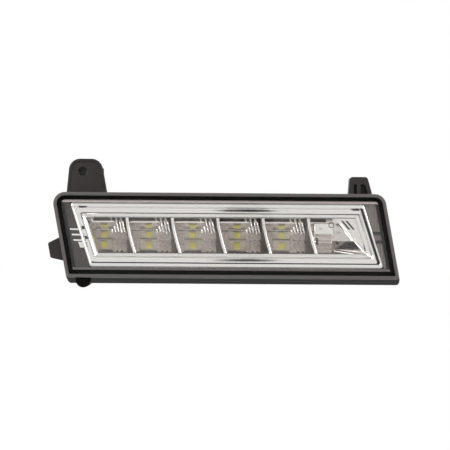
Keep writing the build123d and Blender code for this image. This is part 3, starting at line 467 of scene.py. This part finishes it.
# Ceilings of the cells, on both sides of the openings through which the light sources look.
ceiling_mesh = bmesh.new()
ceiling_height = 12.94
ceiling_back = 33.6
ceiling_margin = 1.0
light_window = 6.6
first_ceiling = 9.0
ceilings = [(fin_x(light_count - 1, cell_top) + ceiling_margin, strut_top[0])]
for number in range(light_count):
    low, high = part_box(f"led_body_{number + 1}")
    light = (low[0] + high[0]) / 2 / MM
    left = fin_x(number - 1, cell_top) + ceiling_margin if number else light - first_ceiling
    ceilings += [(left, light - light_window), (light + light_window, fin_x(number, cell_top) - ceiling_margin)]
for left, right in ceilings:
    corners = ((left, cell_front), (right, cell_front), (right, ceiling_back), (left, ceiling_back))
    sheet(ceiling_mesh, [(x, depth, ceiling_height) for x, depth in corners])
make_piece("mirror_ceilings", ceiling_mesh, "mirror_film", satin_coat)
make_piece("mirror_edges", edge_mesh, "mirror_film", edge_film)
make_piece("mirror_painted_shade_patches", painted_shade_mesh, "mirror_film", painted_shade_grey)

# Bright surround: a stepped plastic moulding with a chrome film, screwed inside the housing.
# Lip, groove, crowned terrace and sloping ledge lead down to the mirror's window.
lean = math.tan(math.radians(18))
shift = 1.1


def leaning_ring(half_width, half_height, depth, radius, steps=8):
    """Points round a leaning parallelogram with rounded corners, in millimetres."""
    corners = [(-half_width, half_height), (half_width, half_height),
               (half_width, -half_height), (-half_width, -half_height)]
    corners = [Vector((shift + x - z * lean, z)) for x, z in corners]
    ring = []
    for index, corner in enumerate(corners):
        before = (corners[index - 1] - corner).normalized()
        after = (corners[(index + 1) % 4] - corner).normalized()
        half = before.angle(after) / 2
        middle = corner + (before + after).normalized() * (radius / math.sin(half))
        start = corner + before * (radius / math.tan(half)) - middle
        end = corner + after * (radius / math.tan(half)) - middle
        turn = start.angle_signed(end)
        for step in range(steps + 1):
            point = middle + Matrix.Rotation(-turn * step / steps, 2) @ start
            ring.append((point.x, depth, point.y))
    return ring


def ring_faces(mesh, rings, finishes):
    """Adds faces between successive rings of points in millimetres, each with the finish of its place."""
    rows = [[mesh.verts.new(Vector(point) * MM) for point in ring] for ring in rings]
    for row, (first, second) in enumerate(zip(rows, rows[1:])):
        for index in range(len(first)):
            after = (index + 1) % len(first)
            face = mesh.faces.new((first[index], first[after], second[after], second[index]))
            face.material_index = finishes(row, face.calc_center_median() / MM)


# Chrome film on moulded plastic: a clean mirror with faint moulding waves.
chrome_film, tree, place = new_finish("chrome_film_on_plastic")
haze = ranged(tree, noise(tree, place, 30.0, 1.0), 0.04, 0.09)
show_solid(tree, {"Base Color": linear("#eceae9"), "Metallic": 1.0, "Roughness": haze})

# Half width, half height, depth and corner radius at each turn of the profile, outside to window.
# The terrace is crowned, so that it mirrors what stands behind the camera as a sliver.
outer_lip = [
    (107.0, 23.6, 8.9, 2.4),
    (107.0, 23.6, 6.5, 2.4),
    (106.9, 23.5, 6.2, 2.3),
    (106.6, 23.2, 6.1, 2.0),
    (105.9, 20.9, 6.0, 1.4),
    (105.6, 20.6, 6.15, 1.2),
    (105.5, 20.5, 6.5, 1.1),
    (105.4, 20.4, 10.2, 1.0),
    (103.8, 20.0, 10.2, 0.9),
    (103.7, 19.9, 7.9, 0.9),
]
crown_radius = 58.0
crown_top = (18.97, 7.64)
crown_inner = (102.2, 16.4)
crown_slant = 0.43
crown_corner = 0.9
crown = [(crown_inner[0] + (half - crown_inner[1]) * crown_slant, half,
          crown_top[1] + (half - crown_top[0]) ** 2 / (2 * crown_radius), crown_corner)
         for half in (19.75, 19.5, 19.2, 18.9, 18.6, 18.3, 18.0, 17.7, 17.4, 17.0, 16.7, 16.4)]
inner_ledge = [
    (102.0, 16.2, 7.9, 0.9),
    (101.8, 15.75, 15.2, 0.8),
    (101.6, 15.6, 15.5, 0.8),
    (99.2, 13.2, 16.8, 0.6),
    (99.0, 13.0, 17.0, 0.6),
    (99.0, 13.0, 17.3, 0.6),
]
surround_profile = outer_lip + crown + inner_ledge
# Painted shade: these rows and places of the profile get black plastic instead of chrome.
groove_rows = (6, 7, 8)
riser_row = len(outer_lip) + len(crown)
right_end = 98.0
upper_side = 15.0
lower_side = -19.0
dark_until = 40.0


def surround_finish(row, middle):
    """Black plastic as painted shade on the upper riser and in part of the groove, chrome elsewhere."""
    at_right = middle.x > shift + right_end - middle.z * lean
    low_left = middle.z < lower_side and middle.x < dark_until
    riser_painted_shade = row == riser_row and middle.z > upper_side
    return 1 if riser_painted_shade or (row in groove_rows and (at_right or low_left)) else 0


surround_mesh = bmesh.new()
ring_faces(surround_mesh, [leaning_ring(*station) for station in surround_profile], surround_finish)

# Clip at the left end: three fingers and a lug that lie in the end panel.
trim_end = shift - outer_lip[0][0]
clip_depth = 6.95
finger_heights = (4.0, 0.0, -4.0)
finger_size = (8.4, 1.7, 1.5)
finger_aside = -1.8
finger_round = 0.3
lug_size = (5.6, 1.7, 4.4)
lug_aside = -0.4
lug_round = 0.4
lug_height = -7.45
for height in finger_heights:
    spot = (trim_end - height * lean + finger_aside, clip_depth, height)
    rounded_block(surround_mesh, spot, finger_size, finger_round)
spot = (trim_end - lug_height * lean + lug_aside, clip_depth, lug_height)
rounded_block(surround_mesh, spot, lug_size, lug_round, lean)
surround = make_piece("surround", surround_mesh, "bright_trim", chrome_film, moulded_black, sharp=20)
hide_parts("chrome_trim")
dress(chrome_film, "chrome_trim")

# Black catches of the housing that show in the surround's two holes and at its two upper corners.
catch_mesh = bmesh.new()
catch_heights = (5.2, -2.0)
catch_size = (2.3, 1.6, 2.3)
catch_round = 0.25
catch_depth = 7.6
catch_aside = 3.8
wedge_depth = 5.95
left_wedge = ((-107.6, 21.2), (-100.6, 20.9), (-102.2, 19.8), (-106.2, 19.6))
right_wedge = ((91.0, 20.0), (97.2, 20.4), (97.8, 18.7), (93.2, 18.8))
for height in catch_heights:
    spot = (trim_end + catch_aside - height * lean, catch_depth, height)
    rounded_block(catch_mesh, spot, catch_size, catch_round, lean)
for wedge in (left_wedge, right_wedge):
    sheet(catch_mesh, [(x, wedge_depth, z) for x, z in wedge])
make_piece("trim_catches", catch_mesh, "moulded_black", moulded_black)

# End panels: dark grey moulded plates that fill the corners beside the surround.
# Fine upright ribs on the tool give them a lined, matte look; the right one has two sunk bands, and what lies
# deeper than the band depth is painted darker as painted shade.
rib_mm = 2.2
panel_grain_mm = 1.2
band_depth = 7.2
for name, dark, light, member in (
    ("ribbed_dark_grey_plastic", "#292422", "#3b3432", "end_panel_left"),
    ("ribbed_mid_grey_plastic", "#5a5351", "#6c6462", "end_panel_right"),
):
    ribbed_grey, tree, place = new_finish(name)
    ribs = add_node(tree, "ShaderNodeTexWave", {
        "Vector": place, "Scale": 1 / (rib_mm * MM) / math.pi, "Distortion": 0.0},
        wave_type="BANDS", bands_direction="X", wave_profile="SIN").outputs["Fac"]
    axes = add_node(tree, "ShaderNodeSeparateXYZ", {"Vector": place})
    # Painted shade: what lies deeper than the band depth gets a dark colour.
    sunk_painted_shade = combined(tree, axes.outputs["Y"], band_depth * MM, "GREATER_THAN")
    show_solid(tree, {
        "Base Color": blended(tree, sunk_painted_shade, tinted(tree, ribs, dark, light), linear("#1d1918")),
        "Roughness": ranged(tree, noise(tree, place, panel_grain_mm, 3.0), 0.4, 0.6), "IOR": 1.49,
        "Specular IOR Level": 0.35, "Normal": relief(tree, ribs, 0.4, 0.3)})
    dress(ribbed_grey, member)

# Lens: clear polycarbonate cover with a leg all round, pressed into the sealant.
# Hard-coated and polished, so it is only seen by its reflections and at its edges.
ripple_mm = 60.0
lens_face = 3.05
leg_reach = 26.2
leg_band_share = (0.447, 0.462)
clear_cover, tree, place = new_finish("hard_coated_clear_polycarbonate")
bump = relief(tree, noise(tree, place, ripple_mm, 1.0), 0.02, 0.2)
sheen = add_node(tree, "ShaderNodeFresnel", {"IOR": 1.5, "Normal": bump})
side = add_node(tree, "ShaderNodeNewGeometry").outputs["Backfacing"]
outside = combined(tree, 1.0, side, "SUBTRACT")
clear = add_node(tree, "ShaderNodeBsdfTransparent", {"Color": linear("#fafaf9")})
polish = add_node(tree, "ShaderNodeBsdfGlossy", {"Color": linear("#ffffff"), "Roughness": 0.02, "Normal": bump})
cover = add_node(tree, "ShaderNodeMixShader", {
    "Fac": combined(tree, sheen.outputs["Fac"], outside, "MULTIPLY"),
    1: clear.outputs["BSDF"], 2: polish.outputs["BSDF"]})

# Where the leg stands behind the front face, a matte grey band shows above and below, with painted light: its
# colour follows height, paler near the bottom and brightest near the top as a painted highlight.
axes = add_node(tree, "ShaderNodeSeparateXYZ", {"Vector": place})
on_face = combined(tree, axes.outputs["Y"], lens_face * MM, "LESS_THAN")
height = add_node(tree, "ShaderNodeMapRange", {
    "Value": axes.outputs["Z"], "From Min": -leg_reach * MM, "From Max": leg_reach * MM}).outputs["Result"]
# Painted light: a paler stop near the bottom and a painted highlight near the top of the leg.
leg_painted_light = tinted(tree, height, "#3c3735", "#4a4341")
for spot, shade in ((0.044, "#6e6967"), (0.05, "#6e6967"), (0.95, "#b9b0ad"), (0.956, "#b9b0ad"),
                    (0.978, "#847b78")):
    leg_painted_light.node.color_ramp.elements.new(spot).color = linear(shade)
from_middle = add_node(tree, "ShaderNodeMath", {0: combined(tree, height, 0.5, "SUBTRACT")}, operation="ABSOLUTE")
leg_band_mask = add_node(tree, "ShaderNodeMapRange", {
    "Value": from_middle.outputs["Value"], "From Min": leg_band_share[0], "From Max": leg_band_share[1], "To Max": 0.85})
leg_band_shader = add_node(tree, "ShaderNodeBsdfDiffuse", {"Color": leg_painted_light})
show(tree, add_node(tree, "ShaderNodeMixShader", {
    "Fac": combined(tree, leg_band_mask.outputs["Result"], on_face, "MULTIPLY"),
    1: cover.outputs["Shader"], 2: leg_band_shader.outputs["BSDF"]}).outputs["Shader"])
dress(clear_cover, "lens")

# Socket and vent cap on the rear: moulded black nylon with fibres that show as 1.4 mm streaks.
# The socket snaps into the rear wall and the cap on its spigot.
black_nylon, tree, place = new_finish("moulded_black_nylon")
fibre = noise(tree, place, 1.4, 4.0)
show_solid(tree, {
    "Base Color": tinted(tree, fibre, "#1c1c1d", "#2b2b2c"), "Roughness": 0.5, "IOR": 1.53,
    "Normal": relief(tree, fibre, 0.2, 0.05)})
dress(black_nylon, "connector_socket", "vent_cap")

# Screws: zinc-plated steel with a faint bloom, in the heat sink and inside the lamp.
zinc_steel, tree, place = new_finish("zinc_plated_steel")
bloom = noise(tree, place, 2.5, 3.0)
show_solid(tree, {
    "Base Color": tinted(tree, bloom, "#b4b6b9", "#cdd0d3"), "Metallic": 1.0,
    "Roughness": ranged(tree, bloom, 0.22, 0.38)})
dress(zinc_steel, "trim_screws", "reflector_screws", "board_screws", "sink_screws", "driver_screws")

# Stage: a white floor well below the lamp, a white surround and a dark disc behind the camera,
# which the bright surround mirrors. None of it is part of the lamp. Sizes here are in metres.
floor_half = 6.0
floor_height = -0.2
floor_glow = 0.99
floor_fibre_mm = 25.0
disc_radius = 0.046
disc_place = (0.033, -1.32, 0.0)
disc_fibre_mm = 5.0
fill_strength = 0.55


def seen_rays(tree):
    """One for rays that show the stage, as it is or in a mirror or a lens, and nought for its light."""
    path = add_node(tree, "ShaderNodeLightPath").outputs
    seen = combined(tree, path["Is Camera Ray"], path["Is Glossy Ray"], "MAXIMUM")
    return combined(tree, seen, path["Is Transmission Ray"], "MAXIMUM")


floor_data = bpy.data.meshes.new("floor")
floor_data.from_pydata([(x * floor_half, y * floor_half, floor_height)
                        for x, y in ((-1, -1), (1, -1), (1, 1), (-1, 1))], [], [(0, 1, 2, 3)])
floor = bpy.data.objects.new("floor", floor_data)
scene.collection.objects.link(floor)
white_floor, tree, place = new_finish("matte_white_floor")
paper = tinted(tree, noise(tree, place, floor_fibre_mm, 2.0), "#f7f7f7", "#fbfbfb")
matte = add_node(tree, "ShaderNodeBsdfDiffuse", {"Color": paper})
glow = add_node(tree, "ShaderNodeEmission", {"Color": linear("#ffffff"), "Strength": 1.0})
show(tree, add_node(tree, "ShaderNodeMixShader", {
    "Fac": combined(tree, seen_rays(tree), floor_glow, "MULTIPLY"),
    1: matte.outputs["BSDF"], 2: glow.outputs["Emission"]}).outputs["Shader"])
floor.data.materials.append(white_floor)

disc_mesh = bmesh.new()
bmesh.ops.create_circle(disc_mesh, cap_ends=True, radius=disc_radius, segments=48,
                        matrix=Matrix.Translation(disc_place) @ Matrix.Rotation(math.pi / 2, 4, "X"))
disc_data = bpy.data.meshes.new("dark_disc")
disc_mesh.to_mesh(disc_data)
disc_mesh.free()
disc = bpy.data.objects.new("dark_disc", disc_data)
scene.collection.objects.link(disc)
black_card, tree, place = new_finish("black_card")
card = tinted(tree, noise(tree, place, disc_fibre_mm, 2.0), "#0c0c0c", "#141414")
show(tree, add_node(tree, "ShaderNodeBsdfDiffuse", {"Color": card}).outputs["BSDF"])
disc.data.materials.append(black_card)
disc.visible_camera = False
disc.visible_shadow = False
disc.visible_diffuse = False

world = bpy.data.worlds.new("white_studio")
scene.world = world
world.use_nodes = True
tree = world.node_tree
tree.nodes.clear()
fill = add_node(tree, "ShaderNodeBackground", {"Color": linear("#ffffff"), "Strength": fill_strength})
white = add_node(tree, "ShaderNodeBackground", {"Color": linear("#ffffff"), "Strength": 1.0})
mixed = add_node(tree, "ShaderNodeMixShader", {
    "Fac": seen_rays(tree), 1: fill.outputs["Background"], 2: white.outputs["Background"]})
add_node(tree, "ShaderNodeOutputWorld", {"Surface": mixed.outputs["Shader"]})

# Softboxes aimed at the lamp. The top one only lights it and isn't seen in its mirrors.
for name, spot, size, power in (
    ("left_softbox", (-1.1, -1.2, 0.5), 0.7, 14.0),
    ("right_softbox", (1.1, -1.1, 0.6), 0.7, 10.0),
    ("top_softbox", (0.0, -0.2, 1.2), 0.9, 12.0),
    ("rear_softbox", (0.4, 1.4, 0.7), 0.8, 12.0),
):
    lamp_data = bpy.data.lights.new(name, "AREA")
    lamp_data.size = size
    lamp_data.energy = power
    lamp = bpy.data.objects.new(name, lamp_data)
    scene.collection.objects.link(lamp)
    lamp.location = spot
    lamp.rotation_euler = (-Vector(spot)).to_track_quat("-Z", "Y").to_euler()
    lamp.visible_glossy = name != "top_softbox"

# Camera: a long lens square to the lamp's front, turned slightly on its axis.
# The lamp's middle lies a few pixels off the middle of the picture.
image_pixels = 450
pixel_mm = 0.725
target_pixels = (-0.4, 10.7)
sensor_mm = 36.0
distance = 1.15
roll = math.radians(0.4)
target = Vector((target_pixels[0], 0.0, target_pixels[1])) * pixel_mm * MM
offset = Vector((0.0, -1.0, 0.0))
camera_data = bpy.data.cameras.new("camera")
camera_data.sensor_width = sensor_mm
camera_data.lens = sensor_mm * distance / (image_pixels * pixel_mm * MM)
camera = bpy.data.objects.new("camera", camera_data)
scene.collection.objects.link(camera)
camera.location = target + offset * distance
facing = (-offset).to_track_quat("-Z", "Y").to_matrix()
camera.rotation_euler = (facing @ Matrix.Rotation(roll, 3, "Z")).to_euler()
scene.camera = camera
scene.view_settings.view_transform = "Standard"
